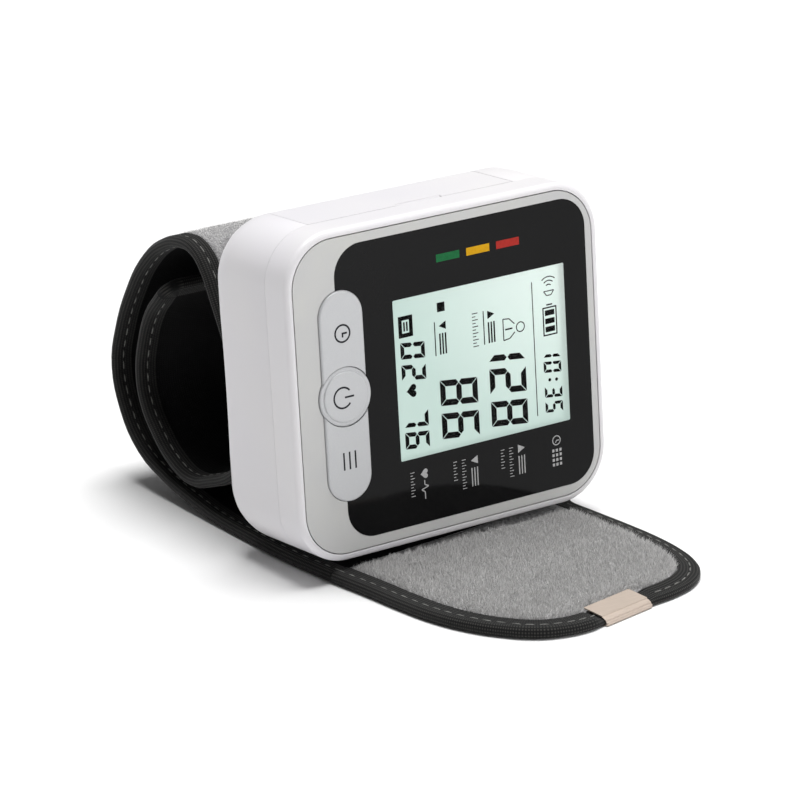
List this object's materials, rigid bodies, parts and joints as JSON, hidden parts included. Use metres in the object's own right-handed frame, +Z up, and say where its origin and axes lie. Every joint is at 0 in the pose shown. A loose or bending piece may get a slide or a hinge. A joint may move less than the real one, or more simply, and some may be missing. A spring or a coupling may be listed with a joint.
{
  "type": "wrist blood pressure monitor",
  "caption": "Wrist blood pressure monitor: a rounded display case with a key column, carried on a padded cuff that loops behind it and ends in a fastening tail.",
  "frame": {"origin": "under the middle of the whole monitor, on the surface it stands on", "axes": "+X to the right of the display as it is read, +Y from the display towards the cuff's loop, +Z up"},
  "size_m": [0.0836, 0.1432, 0.0787],
  "materials": {
    "white_abs": "glossy white moulded ABS",
    "silver_paint": "satin silver-grey painted plate",
    "black_acrylic": "back-printed glossy black acrylic",
    "clear_acrylic": "clear unprinted window of the panel",
    "lcd_glass": "pale grey-green liquid crystal glass",
    "milky_keys": "milky translucent key caps",
    "white_plastic": "plain white plastic",
    "black_plastic": "matte black plastic",
    "circuit_board": "green solder-masked board",
    "steel": "plain bright steel",
    "cell_can": "plain wrapped dry cell",
    "silicone": "translucent silicone",
    "grey_pile": "light grey brushed pile",
    "black_nylon": "black woven nylon",
    "charcoal_tape": "ribbed charcoal edge tape with grey stitching",
    "clip_metal": "champagne-coloured folded sheet metal"
  },
  "bodies": {
    "monitor": {"front_case": "white_abs", "rear_case": "white_abs", "bezel_plate": "silver_paint", "display_panel": "black_acrylic", "display_lens": "clear_acrylic", "lcd_panel": "lcd_glass", "lcd_backlight": "white_plastic", "lcd_holder": "white_plastic", "cuff_curler": "white_plastic", "contact_strip": "black_plastic", "controller_chip": "black_plastic", "switch_1": "black_plastic", "switch_2": "black_plastic", "switch_3": "black_plastic", "pump_head": "black_plastic", "pressure_sensor": "black_plastic", "cuff_nipple": "black_plastic", "speaker": "black_plastic", "arc_plate": "black_plastic", "main_board": "circuit_board", "case_screw_1": "steel", "case_screw_2": "steel", "case_screw_3": "steel", "case_screw_4": "steel", "board_screw_1": "steel", "board_screw_2": "steel", "contact_bridge": "steel", "contact_positive": "steel", "contact_negative": "steel", "contact_spring_1": "steel", "contact_spring_2": "steel", "pump_motor": "steel", "valve_body": "steel", "aaa_cell_1": "cell_can", "aaa_cell_2": "cell_can", "air_manifold": "silicone", "air_bladder": "silicone", "cuff_outer_fabric": "grey_pile", "cuff_hook_patch": "grey_pile", "cuff_lining": "black_nylon", "binding_left": "charcoal_tape", "binding_right": "charcoal_tape", "binding_end": "charcoal_tape"},
    "set_key": {"key_set": "milky_keys", "switch_plunger_1": "white_plastic"},
    "power_key": {"key_power": "milky_keys", "switch_plunger_2": "white_plastic"},
    "memory_key": {"key_memory": "milky_keys", "switch_plunger_3": "white_plastic"},
    "door": {"battery_door": "white_abs"},
    "pump_rotor": {"pump_shaft": "steel"},
    "valve_core": {"valve_plunger": "steel"},
    "tail": {"tail_outer_fabric": "grey_pile", "tail_hook_patch": "grey_pile", "tail_binding": "charcoal_tape", "tail_clip": "clip_metal"}
  },
  "joints": [
    {"name": "set_key_press", "type": "slide", "parent": "monitor", "child": "set_key", "axis": [0, 0.9976, -0.0698], "range_m": [0, 0.0005], "stiffness_N_per_m": 800},
    {"name": "power_key_press", "type": "slide", "parent": "monitor", "child": "power_key", "axis": [0, 0.9976, -0.0698], "range_m": [0, 0.0005], "stiffness_N_per_m": 800},
    {"name": "memory_key_press", "type": "slide", "parent": "monitor", "child": "memory_key", "axis": [0, 0.9976, -0.0698], "range_m": [0, 0.0005], "stiffness_N_per_m": 800},
    {"name": "door_tilt", "type": "hinge", "parent": "monitor", "child": "door", "pos_m": [-0.00235, 0.01501, 0.07655], "axis": [-1, 0, 0], "range_deg": [0, 75]},
    {"name": "pump_spin", "type": "hinge", "parent": "monitor", "child": "pump_rotor", "pos_m": [-0.01, 0.00426, 0.0325], "axis": [1, 0, 0], "continuous": true},
    {"name": "valve_stroke", "type": "slide", "parent": "monitor", "child": "valve_core", "axis": [0, 0.0698, 0.9976], "range_m": [0, 0.0008], "stiffness_N_per_m": 400},
    {"name": "tail_fold", "type": "hinge", "parent": "monitor", "child": "tail", "pos_m": [0.00231, -0.02114, 0.00345], "axis": [-0.9945, -0.1045, 0], "range_deg": [0, 75]}
  ]
}
